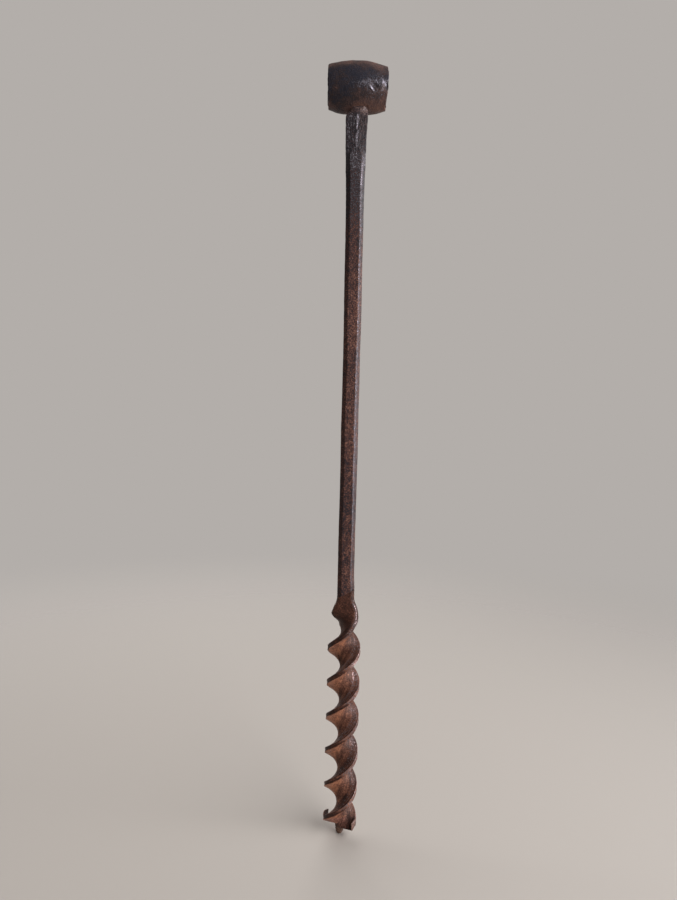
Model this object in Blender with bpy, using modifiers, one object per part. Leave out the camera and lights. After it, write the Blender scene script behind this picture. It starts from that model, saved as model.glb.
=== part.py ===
"""A forged eye auger for boring wood by hand, without its cross handle.

The origin is the centre of the eye. +X runs along the hole for the handle and +Z runs up the boring
axis, so the twist and the cutting end point down. The real tool is forge-welded throughout: here the
pieces lie a small weld gap apart. All sizes are in metres.
"""

import math

import bmesh
import bpy
from mathutils import Matrix, Vector

# Eye: a barrel-shaped ring for the handle
EYE_LENGTH = 0.0460
EYE_BORE_DIAMETER = 0.0225
EYE_CROWN_WALL = 0.00695
EYE_END_WALL = 0.00395
EYE_CHAMFER = 0.0010

# Neck: a bar with a low ridge down its front and back, which opens into the shank's eight sides at its foot
NECK_LENGTH = 0.0464
NECK_WIDTH = 0.0172
NECK_DEPTH = 0.0126
NECK_RIDGE_RISE = 0.0028
NECK_RIDGE_FLAT = 0.0012
NECK_FOOT_LENGTH = 0.0120

# Shank: a tapering square bar with its corners hammered off, measured between the middles of its welds.
# Its even taper starts from the bar width, and the top width adds a swell that dies out downwards.
SHANK_LENGTH = 0.3254
SHANK_TOP_WIDTH = 0.0149
SHANK_BAR_WIDTH = 0.0134
SHANK_FOOT_WIDTH = 0.0125
SHANK_SWELL_POWER = 16
SHANK_CORNER_CUT = 0.0029

# Spade: the top of the twist, from the lower weld to the first crest, where the bar is hammered flat
SPADE_LENGTH = 0.01775
SPADE_WIDTH = 0.0199
SPADE_THICKNESS = 0.0066

# Twist: a flat strip turned right-handed, measured from the first crest to the cutting edges
TWIST_LENGTH = 0.1646
TWIST_DIAMETER = 0.0254
TWIST_PITCH = 0.05354
TWIST_RUN_IN = 0.0120
STRIP_THICKNESS = 0.0051
STRIP_CORNER_CUT = 0.0006

# Cutting end: two lips, two upturned wings and the worn stub of the lead screw
LIP_HEIGHT = 0.0065
LIP_RELIEF = 0.0007
LIP_DROP = 0.0010
WING_HEIGHT = 0.0059
WING_WALL = 0.0016
WING_TAIL_HEIGHT = 0.0008
SCREW_ROOT_DIAMETER = 0.0062
SCREW_TIP_DIAMETER = 0.0040
SCREW_REACH = 0.0072

# Welds
WELD_GAP = 0.0003
SCARF_RISE = 0.5

# Fineness of the round and twisted surfaces
ROUND_STEPS = 48
CROWN_STEPS = 12
TAPER_STEPS = 24
SPADE_STEPS = 10
TURN_STEP_DEGREES = 10.0
WING_STEPS = 10

# Heights of the joins, down from the centre of the eye
EYE_BORE_RADIUS = EYE_BORE_DIAMETER / 2
EYE_CROWN_RADIUS = EYE_BORE_RADIUS + EYE_CROWN_WALL
EYE_END_RADIUS = EYE_BORE_RADIUS + EYE_END_WALL
UPPER_WELD_Z = -EYE_CROWN_RADIUS - NECK_LENGTH
LOWER_WELD_Z = UPPER_WELD_Z - SHANK_LENGTH
FIRST_CREST_Z = LOWER_WELD_Z - SPADE_LENGTH

# Rates and gaps of the twist
TWIST_RADIUS = TWIST_DIAMETER / 2
STRIP_HALF = STRIP_THICKNESS / 2
TURN_RATE = 2 * math.pi / TWIST_PITCH
SCARF_GAP = WELD_GAP * math.hypot(1, SCARF_RISE)
LIP_TOP_DEPTH = TWIST_LENGTH - LIP_HEIGHT
LIP_INNER_RADIUS = SCREW_ROOT_DIAMETER / 2 + WELD_GAP


def ease(share):
    """Smooth step from 0 to 1."""
    share = min(max(share, 0.0), 1.0)
    return share * share * (3 - 2 * share)


def mix(start, end, share):
    """Value a share of the way from start to end."""
    return start + (end - start) * share


def octagon(half_x, half_y, cut_x, cut_y):
    """Corners, anticlockwise, of a rectangle with its corners cut off, by one length along each axis."""
    quarter = [(half_x, half_y - cut_y), (half_x - cut_x, half_y)]
    other = [(-x, y) for x, y in reversed(quarter)]
    upper = quarter + other
    return upper + [(-x, -y) for x, y in upper]


def level_ring(section, height, angle=0.0):
    """A section turned about Z and lifted to one height."""
    turn = Matrix.Rotation(angle, 3, "Z")
    return [turn @ Vector((x, y, 0.0)) + Vector((0.0, 0.0, height)) for x, y in section]


def scarf_ring(section, height):
    """A section cut by the slanting plane of a scarf weld."""
    return [Vector((x, y, height + SCARF_RISE * x)) for x, y in section]


def add_object(name, mesh, collection, parent=None):
    """Put a mesh into a collection as a named object."""
    piece = bpy.data.objects.new(name, mesh)
    piece.parent = parent
    collection.objects.link(piece)
    return piece


def loft(name, rings):
    """Mesh skinned over rings of equal point counts, closed with a cap at either end."""
    shape = bmesh.new()
    loops = [[shape.verts.new(point) for point in ring] for ring in rings]
    for lower, upper in zip(loops, loops[1:]):
        for index in range(len(lower)):
            shape.faces.new((lower[index - 1], lower[index], upper[index], upper[index - 1]))
    shape.faces.new(loops[0])
    shape.faces.new(loops[-1])
    bmesh.ops.recalc_face_normals(shape, faces=shape.faces)
    mesh = bpy.data.meshes.new(name)
    shape.to_mesh(mesh)
    shape.free()
    return mesh


def profile_mesh(name, points, closed):
    """Mesh of an outline in the XZ plane, for a Screw modifier."""
    count = len(points)
    edges = [(index, (index + 1) % count) for index in range(count if closed else count - 1)]
    mesh = bpy.data.meshes.new(name)
    mesh.from_pydata([(radius, 0.0, height) for radius, height in points], edges, [])
    return mesh


def spin(piece):
    """Turn a profile about the piece's own Z axis into a round solid."""
    screw = piece.modifiers.new("turned", "SCREW")
    screw.steps = ROUND_STEPS
    screw.render_steps = ROUND_STEPS
    screw.use_merge_vertices = True
    screw.merge_threshold = 0.00001
    screw.use_smooth_shade = True


def crown_radius(along):
    """Outside radius of the eye at a distance along it from its middle: a parabola."""
    share = 2 * along / EYE_LENGTH
    return mix(EYE_CROWN_RADIUS, EYE_END_RADIUS, share * share)


def crown_side(reach, extra):
    """Outside of the eye from +reach to -reach, with extra added to the radius."""
    steps = [mix(reach, -reach, step / CROWN_STEPS) for step in range(CROWN_STEPS + 1)]
    return [(crown_radius(along) + extra, along) for along in steps]


def eye_profile():
    """Closed outline of the eye's wall, from the top of its outer side round to the bore."""
    half = EYE_LENGTH / 2
    chamfer = min(EYE_CHAMFER, EYE_END_WALL / 3)
    outside = crown_side(half - chamfer, 0.0)
    rim = EYE_END_RADIUS - chamfer
    mouth = EYE_BORE_RADIUS + chamfer
    lower_end = [(rim, -half), (mouth, -half), (EYE_BORE_RADIUS, chamfer - half)]
    upper_end = [(EYE_BORE_RADIUS, half - chamfer), (mouth, half), (rim, half)]
    return outside + lower_end + upper_end


def eye_cutter_profile():
    """Outline of the solid eye, a weld gap larger, that hollows the top of the neck."""
    half = EYE_LENGTH / 2
    return [(0.0, half)] + crown_side(half, WELD_GAP) + [(0.0, -half)]


def shank_section(share):
    """Eight-sided section of the shank: an even taper from its top at 0 to its foot at 1, and the swell."""
    swell = (SHANK_TOP_WIDTH - SHANK_BAR_WIDTH) * (1 - share) ** SHANK_SWELL_POWER
    width = mix(SHANK_BAR_WIDTH, SHANK_FOOT_WIDTH, share) + swell
    return octagon(width / 2, width / 2, SHANK_CORNER_CUT, SHANK_CORNER_CUT)


def neck_rings():
    """Sections of the neck, from the scarf at its foot up into the eye."""
    top = -EYE_BORE_RADIUS
    foot = SHANK_TOP_WIDTH * SCARF_RISE
    rings = [scarf_ring(shank_section(0.0), UPPER_WELD_Z + SCARF_GAP / 2)]
    for step in range(TAPER_STEPS + 1):
        share = step / TAPER_STEPS
        height = mix(UPPER_WELD_Z + foot, top, share)
        rise = (height - UPPER_WELD_Z) / NECK_LENGTH
        opening = ease((height - UPPER_WELD_Z - foot) / NECK_FOOT_LENGTH)
        half_x = mix(SHANK_TOP_WIDTH, NECK_WIDTH, min(rise, 1.0)) / 2
        half_y = mix(SHANK_TOP_WIDTH, NECK_DEPTH, min(rise, 1.0)) / 2
        cut_x = mix(SHANK_CORNER_CUT, half_x - NECK_RIDGE_FLAT / 2, opening)
        cut_y = mix(SHANK_CORNER_CUT, NECK_RIDGE_RISE, opening)
        rings.append(level_ring(octagon(half_x, half_y, cut_x, cut_y), height))
    return rings


def shank_rings():
    """Sections of the shank, scarfed at both ends."""
    upper = UPPER_WELD_Z - SHANK_TOP_WIDTH * SCARF_RISE
    lower = LOWER_WELD_Z + SHANK_FOOT_WIDTH * SCARF_RISE
    rings = [scarf_ring(shank_section(0.0), UPPER_WELD_Z - SCARF_GAP / 2)]
    for step in range(TAPER_STEPS + 1):
        share = step / TAPER_STEPS
        rings.append(level_ring(shank_section(share), mix(upper, lower, share)))
    rings.append(scarf_ring(shank_section(1.0), LOWER_WELD_Z + SCARF_GAP / 2))
    return rings


def turn_at(depth):
    """Angle of the strip at a depth below the first crest; a right-hand twist falls as it goes down."""
    run = min(max(depth + TWIST_RUN_IN / 2, 0.0), TWIST_RUN_IN)
    past = max(depth - TWIST_RUN_IN / 2, 0.0)
    return -TURN_RATE * (run * run / (2 * TWIST_RUN_IN) + past)


def strip_section(depth):
    """Section of the bar as it is flattened into the spade and then into the strip."""
    if depth < 0:
        share = ease(1 + depth / (SPADE_LENGTH - SHANK_FOOT_WIDTH * SCARF_RISE))
        width = mix(SHANK_FOOT_WIDTH, SPADE_WIDTH, share)
        thickness = mix(SHANK_FOOT_WIDTH, SPADE_THICKNESS, share)
        cut = mix(SHANK_CORNER_CUT, STRIP_CORNER_CUT, share)
    else:
        share = ease(2 * depth / TWIST_PITCH)
        width = mix(SPADE_WIDTH, TWIST_DIAMETER, share)
        thickness = mix(SPADE_THICKNESS, STRIP_THICKNESS, share)
        cut = STRIP_CORNER_CUT
    return octagon(width / 2, thickness / 2, cut, cut)


def even_depths(start, end):
    """Depths from start to end, close enough for the strip to turn by small steps."""
    count = max(math.ceil(abs(end - start) * TURN_RATE / math.radians(TURN_STEP_DEGREES)), 2)
    return [mix(start, end, step / count) for step in range(count + 1)]


def twist_rings():
    """Sections of the twist in its own frame, whose origin is the first crest."""
    top = SPADE_LENGTH - SHANK_FOOT_WIDTH * SCARF_RISE
    rings = [scarf_ring(shank_section(1.0), SPADE_LENGTH - SCARF_GAP / 2)]
    spade = [mix(-top, 0.0, step / SPADE_STEPS) for step in range(SPADE_STEPS)]
    for depth in spade + even_depths(0.0, LIP_TOP_DEPTH - WELD_GAP / 2):
        rings.append(level_ring(strip_section(depth), -depth, turn_at(depth)))
    return rings


def lip_rings():
    """Sections of one lip: the outer half of the strip, ground at its foot to a cutting edge.

    The foot rises from the leading face to the trailing face and drops towards the middle.
    """
    middle = (TWIST_RADIUS + LIP_INNER_RADIUS) / 2
    half = (TWIST_RADIUS - LIP_INNER_RADIUS) / 2
    corner = STRIP_CORNER_CUT
    section = [(middle + x, y) for x, y in octagon(half, STRIP_HALF, corner, corner)]
    depths = even_depths(LIP_TOP_DEPTH + WELD_GAP / 2, TWIST_LENGTH - LIP_RELIEF)
    rings = [level_ring(section, -depth, turn_at(depth)) for depth in depths]
    foot = level_ring(section, -TWIST_LENGTH, turn_at(TWIST_LENGTH))
    for point, (x, y) in zip(foot, section):
        trailing = (y + STRIP_HALF) / STRIP_THICKNESS
        inward = (TWIST_RADIUS - x) / (2 * half)
        point.z += LIP_RELIEF * trailing - LIP_DROP * inward
    return rings + [foot]


def wing_rings():
    """Sections of one wing: a curved plate on the leading face of a lip, level along its top.

    Each section is a four-cornered slice of the wall at one angle about the boring axis. Its foot
    keeps a weld gap, measured square to the helix, above the leading face.
    """
    radii = (TWIST_RADIUS - WING_WALL, TWIST_RADIUS)
    lag = {radius: math.asin(STRIP_HALF / radius) for radius in radii}
    end = turn_at(TWIST_LENGTH)
    top = WING_HEIGHT - TWIST_LENGTH
    gap = {radius: WELD_GAP * math.hypot(1, 1 / (TURN_RATE * radius)) for radius in radii}

    def foot(radius, angle):
        """Height of the wing's foot at a radius and an angle."""
        return (angle + lag[radius] - end) / TURN_RATE - TWIST_LENGTH + gap[radius]

    inner, outer = radii
    front = end - lag[outer]
    tail = end - lag[inner] + TURN_RATE * (WING_HEIGHT - gap[inner] - WING_TAIL_HEIGHT)
    rings = []
    for step in range(WING_STEPS + 1):
        angle = mix(front, tail, step / WING_STEPS)
        corners = [(inner, foot(inner, angle)), (outer, foot(outer, angle)), (outer, top), (inner, top)]
        across = Vector((math.cos(angle), math.sin(angle), 0.0))
        rings.append([across * radius + Vector((0.0, 0.0, height)) for radius, height in corners])
    return rings


def screw_profile():
    """Outline of the worn lead screw, from its seat under the twist down to its blunt tip."""
    root = SCREW_ROOT_DIAMETER / 2
    tip = SCREW_TIP_DIAMETER / 2
    seat = -LIP_TOP_DEPTH - WELD_GAP / 2
    nose = tip / 2
    point = -TWIST_LENGTH - SCREW_REACH
    stub = [(root, -TWIST_LENGTH), (tip, point + nose), (nose, point), (0.0, point)]
    return [(0.0, seat), (root, seat)] + stub


def forged_metal(name, colour, roughness):
    """Principled material of one forged and patinated piece."""
    material = bpy.data.materials.new(name)
    material.use_nodes = True
    shader = material.node_tree.nodes["Principled BSDF"]
    shader.inputs["Base Color"].default_value = (*colour, 1.0)
    shader.inputs["Metallic"].default_value = 0.9
    shader.inputs["Roughness"].default_value = roughness
    return material


def build():
    """Clear the scene and model the auger, one object for each piece."""
    for old in list(bpy.data.objects):
        bpy.data.objects.remove(old, do_unlink=True)
    auger = bpy.data.collections.new("eye_auger")
    cutters = bpy.data.collections.new("eye_auger_cutters")
    bpy.context.scene.collection.children.link(auger)
    bpy.context.scene.collection.children.link(cutters)

    boring_axis = add_object("boring_axis", None, auger)
    along_handle = (0.0, math.pi / 2, 0.0)
    helix_origin = (0.0, 0.0, FIRST_CREST_Z)
    half_turn = (0.0, 0.0, math.pi)

    handle_eye = add_object("handle_eye", profile_mesh("eye_wall", eye_profile(), True), auger, boring_axis)
    handle_eye.rotation_euler = along_handle
    spin(handle_eye)
    eye_space = add_object("eye_space", profile_mesh("eye_space", eye_cutter_profile(), False), cutters)
    eye_space.rotation_euler = along_handle
    eye_space.hide_render = True
    eye_space.display_type = "WIRE"
    spin(eye_space)

    neck = add_object("neck", loft("neck", neck_rings()), auger, boring_axis)
    saddle = neck.modifiers.new("saddle", "BOOLEAN")
    saddle.object = eye_space
    shank = add_object("shank", loft("shank", shank_rings()), auger, boring_axis)
    twist = add_object("twist", loft("twist", twist_rings()), auger, boring_axis)

    lip = loft("lip", lip_rings())
    right_lip = add_object("right_lip", lip, auger, boring_axis)
    left_lip = add_object("left_lip", lip.copy(), auger, boring_axis)
    wing = loft("wing", wing_rings())
    right_wing = add_object("right_wing", wing, auger, boring_axis)
    left_wing = add_object("left_wing", wing.copy(), auger, boring_axis)
    stub = profile_mesh("lead_screw", screw_profile(), False)
    lead_screw = add_object("lead_screw", stub, auger, boring_axis)
    spin(lead_screw)
    for piece in (twist, right_lip, left_lip, right_wing, left_wing, lead_screw):
        piece.location = helix_origin
    left_lip.rotation_euler = half_turn
    left_wing.rotation_euler = half_turn

    finishes = {
        handle_eye: ((0.035, 0.028, 0.027), 0.45),
        neck: ((0.050, 0.045, 0.048), 0.40),
        shank: ((0.075, 0.038, 0.030), 0.45),
        twist: ((0.160, 0.075, 0.045), 0.50),
        right_lip: ((0.150, 0.080, 0.055), 0.45),
        left_lip: ((0.150, 0.080, 0.055), 0.45),
        right_wing: ((0.110, 0.065, 0.050), 0.45),
        left_wing: ((0.110, 0.065, 0.050), 0.45),
        lead_screw: ((0.070, 0.050, 0.045), 0.45),
    }
    for piece, (colour, roughness) in finishes.items():
        piece.data.materials.append(forged_metal(piece.name, colour, roughness))


build()
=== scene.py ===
"""Looks of a forged eye auger: each solid is redrawn as a fine surface of worked, rusted iron.

Shapes are worked out in millimetres in the frame's axes. The origin is the centre of the eye, +X runs
along the hole for the handle, +Z runs up the boring axis and -Y is the front. Every surface is a grid of
points, worked out as whole arrays: its rows run along the piece and its columns run round it.
"""

import logging
import math
from dataclasses import dataclass, field
from enum import Enum

import bpy
import numpy as np
from mathutils import Matrix, Vector


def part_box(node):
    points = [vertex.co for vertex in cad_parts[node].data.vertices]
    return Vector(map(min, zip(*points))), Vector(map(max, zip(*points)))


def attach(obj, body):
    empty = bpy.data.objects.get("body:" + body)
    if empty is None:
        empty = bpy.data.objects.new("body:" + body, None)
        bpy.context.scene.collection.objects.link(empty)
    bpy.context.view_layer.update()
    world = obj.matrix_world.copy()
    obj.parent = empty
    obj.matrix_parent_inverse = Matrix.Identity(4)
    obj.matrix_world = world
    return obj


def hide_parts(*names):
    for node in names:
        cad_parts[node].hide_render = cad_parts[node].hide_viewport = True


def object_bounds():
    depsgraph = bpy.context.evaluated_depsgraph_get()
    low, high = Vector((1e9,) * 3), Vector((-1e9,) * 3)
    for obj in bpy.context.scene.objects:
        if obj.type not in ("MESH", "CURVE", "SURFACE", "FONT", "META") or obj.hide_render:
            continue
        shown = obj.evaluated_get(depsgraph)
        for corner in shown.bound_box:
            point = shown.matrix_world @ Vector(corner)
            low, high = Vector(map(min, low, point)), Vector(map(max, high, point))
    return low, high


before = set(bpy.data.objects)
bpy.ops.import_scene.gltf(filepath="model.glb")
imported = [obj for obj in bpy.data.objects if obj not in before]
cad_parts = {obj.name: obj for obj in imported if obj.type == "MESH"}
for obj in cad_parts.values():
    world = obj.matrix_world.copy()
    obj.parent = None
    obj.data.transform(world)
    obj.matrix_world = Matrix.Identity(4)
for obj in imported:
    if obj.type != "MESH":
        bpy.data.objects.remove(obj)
CAD_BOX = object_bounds()

Array = np.ndarray
Masks = dict[str, np.ndarray]
# Start and length of a smooth step, which runs downwards where the length is negative
Span = tuple[float, float]
MM = 0.001
BODY = "root"
# The third mask holds painted shade as well as soot, and the second painted highlights as well as wear
MASK_NAMES = ("rust", "wear_and_highlight", "soot_and_shade")
NOISE_LAYERS = 2
SHARP_EDGE = math.radians(58.0)
log = logging.getLogger("eye_auger")


class Side(Enum):
    """Which of the two ends of the strip a piece stands on, as its turn about the boring axis."""

    RIGHT = 0.0
    LEFT = math.pi


class Reach(Enum):
    """What a light adds to a surface: shade alone, or its mirror image alone."""

    SHADE = "shade"
    MIRROR = "mirror"


def smooth(share: Array) -> Array:
    """Smooth step: 0 below 0, 1 above 1, and three squares less two cubes between."""
    share = np.clip(share, 0.0, 1.0)
    return share * share * (3.0 - 2.0 * share)


def rise(value: Array, start: Array, length: float) -> Array:
    """Smooth step: 0 at the start and 1 a length further on, or further down where it is negative."""
    return smooth((value - start) / length)


def mix(start: Array, end: Array, share: Array) -> Array:
    """Value a share of the way from start to end."""
    return start + (end - start) * share


def bell(value: Array, middle: float, width: float) -> Array:
    """Bell curve: 1 at the middle, and e to the minus one at the given width on either side."""
    return np.exp(-(((value - middle) / width) ** 2))


def most(*parts: Array) -> Array:
    """Largest of several values at each point."""
    return np.maximum.reduce(np.broadcast_arrays(*parts))


def full_turn(columns: int) -> Array:
    """Angles of evenly spaced columns round a full turn."""
    return np.linspace(0.0, 2.0 * math.pi, columns, endpoint=False)


def turned(x: Array, y: Array, angle: Array) -> tuple[Array, Array]:
    """X and Y after a turn about the boring axis, anticlockwise from above."""
    return x * np.cos(angle) - y * np.sin(angle), x * np.sin(angle) + y * np.cos(angle)


def linear(colour: str) -> tuple[float, float, float, float]:
    """Linear colour of an sRGB hex value, with full alpha.

    Args:
        colour: Six hex digits.

    Returns:
        Red, green, blue and alpha.
    """
    shades = [int(colour[start : start + 2], 16) / 255 for start in (0, 2, 4)]
    red, green, blue = [s / 12.92 if s <= 0.04045 else ((s + 0.055) / 1.055) ** 2.4 for s in shades]
    return red, green, blue, 1.0


def lattice(cells: Array, seed: int) -> Array:
    """Random value from 0 to 1 for each whole-numbered cell.

    The three numbers of a cell are multiplied by large primes, added up and folded over twice.

    Args:
        cells: Whole numbers, shaped ... x 3.
        seed: Number that picks one field of values.

    Returns:
        One value for each cell.
    """
    key = cells.astype(np.int64).astype(np.uint32)
    start = np.uint32(seed * 3266489917 % 2**32)
    mixed = key[..., 0] * np.uint32(374761393) + key[..., 1] * np.uint32(668265263)
    mixed = mixed + key[..., 2] * np.uint32(2246822519) + start
    mixed = (mixed ^ (mixed >> np.uint32(13))) * np.uint32(1274126177)
    mixed = mixed ^ (mixed >> np.uint32(16))
    return mixed / float(2**32)


def noise(points: Array, size: float, seed: int) -> Array:
    """Smooth noise from about -1 to 1.

    Random values on a lattice are blended between its corners. Each further layer has half the size and
    half the strength of the one before.

    Args:
        points: Points in millimetres, shaped ... x 3.
        size: Size of the coarsest cells in millimetres.
        seed: Number that picks one field.

    Returns:
        One value for each point.
    """
    total = np.zeros(points.shape[:-1])
    for layer in range(NOISE_LAYERS):
        place = points / size * 2**layer
        cell = np.floor(place)
        share = smooth(place - cell)
        for corner in np.ndindex(2, 2, 2):
            weight = 0.5**layer * np.prod(np.where(corner, share, 1.0 - share), axis=-1)
            total += weight * (2.0 * lattice(cell + corner, seed + layer) - 1.0)
    return total


def pits(points: Array, size: float, seed: int) -> Array:
    """Nearness, from 0 to 1, to the closest of a scatter of points, one to each cell.

    Args:
        points: Points in millimetres, shaped ... x 3.
        size: Size of the cells in millimetres.
        seed: Number that picks one scatter.

    Returns:
        One value for each point.
    """
    place = points / size
    cell = np.floor(place)
    nearest = np.full(points.shape[:-1], 2.0)
    for step in np.ndindex(3, 3, 3):
        near = cell + np.array(step) - 1.0
        jitter = np.stack([lattice(near, seed + axis) for axis in range(3)], axis=-1)
        nearest = np.minimum(nearest, np.linalg.norm(near + jitter - place, axis=-1))
    return np.clip(1.0 - nearest, 0.0, 1.0)


def drift(height: Array, size: float, seed: int) -> Array:
    """Slow noise along the boring axis alone."""
    still = np.zeros_like(height)
    return noise(np.stack([height, still, still], axis=-1), size, seed)


def strips(upper: Array, lower: Array) -> Array:
    """Four-sided faces between rows of point numbers and the rows that follow them, closed round."""
    return np.stack([upper, lower, np.roll(lower, -1, 1), np.roll(upper, -1, 1)], axis=-1).reshape(-1, 4)


def fan(pole: int, row: Array) -> Array:
    """Three-sided faces between a pole and each step of a row of point numbers."""
    return np.stack([np.full(len(row), pole), row, np.roll(row, -1)], axis=-1)


def link(name: str, data: bpy.types.ID) -> bpy.types.Object:
    """Add an object to the scene, at the origin.

    Args:
        name: Name of the object.
        data: Its mesh, light or camera.

    Returns:
        The new object.
    """
    thing = bpy.data.objects.new(name, data)
    bpy.context.scene.collection.objects.link(thing)
    return thing


def link_mesh(name: str, points: Array, quads: Array, fans: Array) -> bpy.types.Object:
    """Write points and faces into a mesh and add it to the scene.

    Args:
        name: Name of the mesh and its object.
        points: Points in metres, shaped ... x 3.
        quads: Point numbers of the four-sided faces.
        fans: Point numbers of the three-sided faces.

    Returns:
        The new object.
    """
    mesh = bpy.data.meshes.new(name)
    mesh.vertices.add(len(points))
    mesh.vertices.foreach_set("co", points.ravel())
    mesh.loops.add(quads.size + fans.size)
    mesh.loops.foreach_set("vertex_index", np.concatenate([quads.ravel(), fans.ravel()]))
    mesh.polygons.add(len(quads) + len(fans))
    starts = np.concatenate([np.arange(len(quads)) * 4, quads.size + np.arange(len(fans)) * 3])
    mesh.polygons.foreach_set("loop_start", starts)
    mesh.update(calc_edges=True)
    mesh.validate()
    return link(name, mesh)


@dataclass
class Skin:
    """Closed surface over a grid of points: rows step along the piece and columns go round it.

    The cross product of a step along the rows and a step round the columns points out of the piece.

    Attributes:
        points: Points in millimetres, shaped rows x columns x 3.
        ring: Whether the last row joins the first. Otherwise each end closes to a pole.
        masks: Values from 0 to 1 for the material, each shaped rows x columns.
    """

    points: Array
    ring: bool = False
    masks: Masks = field(default_factory=dict)

    def axes(self) -> tuple[Array, Array, Array]:
        """X, Y and Z of every point, as the surface is now."""
        return tuple(np.moveaxis(self.points, -1, 0))

    def normals(self) -> Array:
        """Unit normals: the cross product of the steps along the rows and round the columns.

        Returns:
            One normal for each point.
        """
        around = np.roll(self.points, -1, 1) - np.roll(self.points, 1, 1)
        along = np.gradient(self.points, axis=0)
        if self.ring:
            along = np.roll(self.points, -1, 0) - np.roll(self.points, 1, 0)
        cross = np.cross(along, around)
        return cross / np.maximum(np.linalg.norm(cross, axis=-1, keepdims=True), 1e-9)

    def soften(self, times: int) -> None:
        """Round the edges along the piece: each point moves towards the mean of its neighbours.

        Args:
            times: Number of moves.
        """
        for _ in range(times):
            before, after = np.roll(self.points, 1, 1), np.roll(self.points, -1, 1)
            self.points = (before + 2.0 * self.points + after) / 4.0

    def push(self, height: Array) -> None:
        """Move every point along its normal by a height in millimetres."""
        self.points = self.points + self.normals() * height[..., None]

    def edges(self, reach: int, height: float) -> Array:
        """How far each point stands out from the mean of its neighbours round the piece.

        Args:
            reach: Number of columns that the mean takes in on either side.
            height: Height in millimetres that counts as a full edge.

        Returns:
            Values from 0, flat or hollow, to 1, a sharp edge.
        """
        mean = sum(np.roll(self.points, step, 1) for step in range(-reach, reach + 1)) / (2 * reach + 1)
        out = np.sum((self.points - mean) * self.normals(), axis=-1)
        return np.clip(out / height, 0.0, 1.0)

    def to_object(self, name: str) -> bpy.types.Object:
        """Write the grid and its masks into a smooth mesh.

        Args:
            name: Name of the piece.

        Returns:
            The new object, at the origin.
        """
        rows, columns, _ = self.points.shape
        grid = np.arange(rows * columns).reshape(rows, columns)
        points = self.points.reshape(-1, 3)
        values = {key: mask.reshape(-1) for key, mask in self.masks.items()}
        if self.ring:
            quads = strips(grid, np.roll(grid, -1, 0))
            fans = np.zeros((0, 3), dtype=int)
        else:
            ends = [0, -1]
            pole = len(points)
            quads = strips(grid[:-1], grid[1:])
            fans = np.concatenate([fan(pole, grid[0]), fan(pole + 1, grid[-1])[:, [0, 2, 1]]])
            points = np.concatenate([points, self.points[ends].mean(axis=1)])
            means = {key: mask[ends].mean(axis=1) for key, mask in self.masks.items()}
            values = {key: np.append(value, means[key]) for key, value in values.items()}
        piece = link_mesh(name, points * MM, quads, fans)
        for key, value in values.items():
            layer = piece.data.attributes.new(key, "FLOAT", "POINT")
            layer.data.foreach_set("value", np.clip(value, 0.0, 1.0).astype(np.float32))
        piece.data.shade_smooth()
        piece.data.set_sharp_from_angle(angle=SHARP_EDGE)
        return piece


def add_node(
    tree: bpy.types.NodeTree,
    kind: str,
    values: dict | None = None,
    links: dict | None = None,
    output: int | str = 0,
    **settings,
) -> bpy.types.NodeSocket:
    """Add a shader node with its settings, socket values and incoming links.

    Args:
        tree: Node tree that takes the node.
        kind: Type of the node, without the prefix that all shader nodes share.
        values: Constants by socket name or number.
        links: Output sockets of other nodes by socket name or number.
        output: Name or number of the output that is wanted.
        **settings: Properties of the node.

    Returns:
        The wanted output of the new node.
    """
    node = tree.nodes.new("ShaderNode" + kind)
    for key, value in settings.items():
        setattr(node, key, value)
    for key, value in (values or {}).items():
        node.inputs[key].default_value = value
    for key, source in (links or {}).items():
        tree.links.new(source, node.inputs[key])
    return node.outputs[output]


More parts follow.
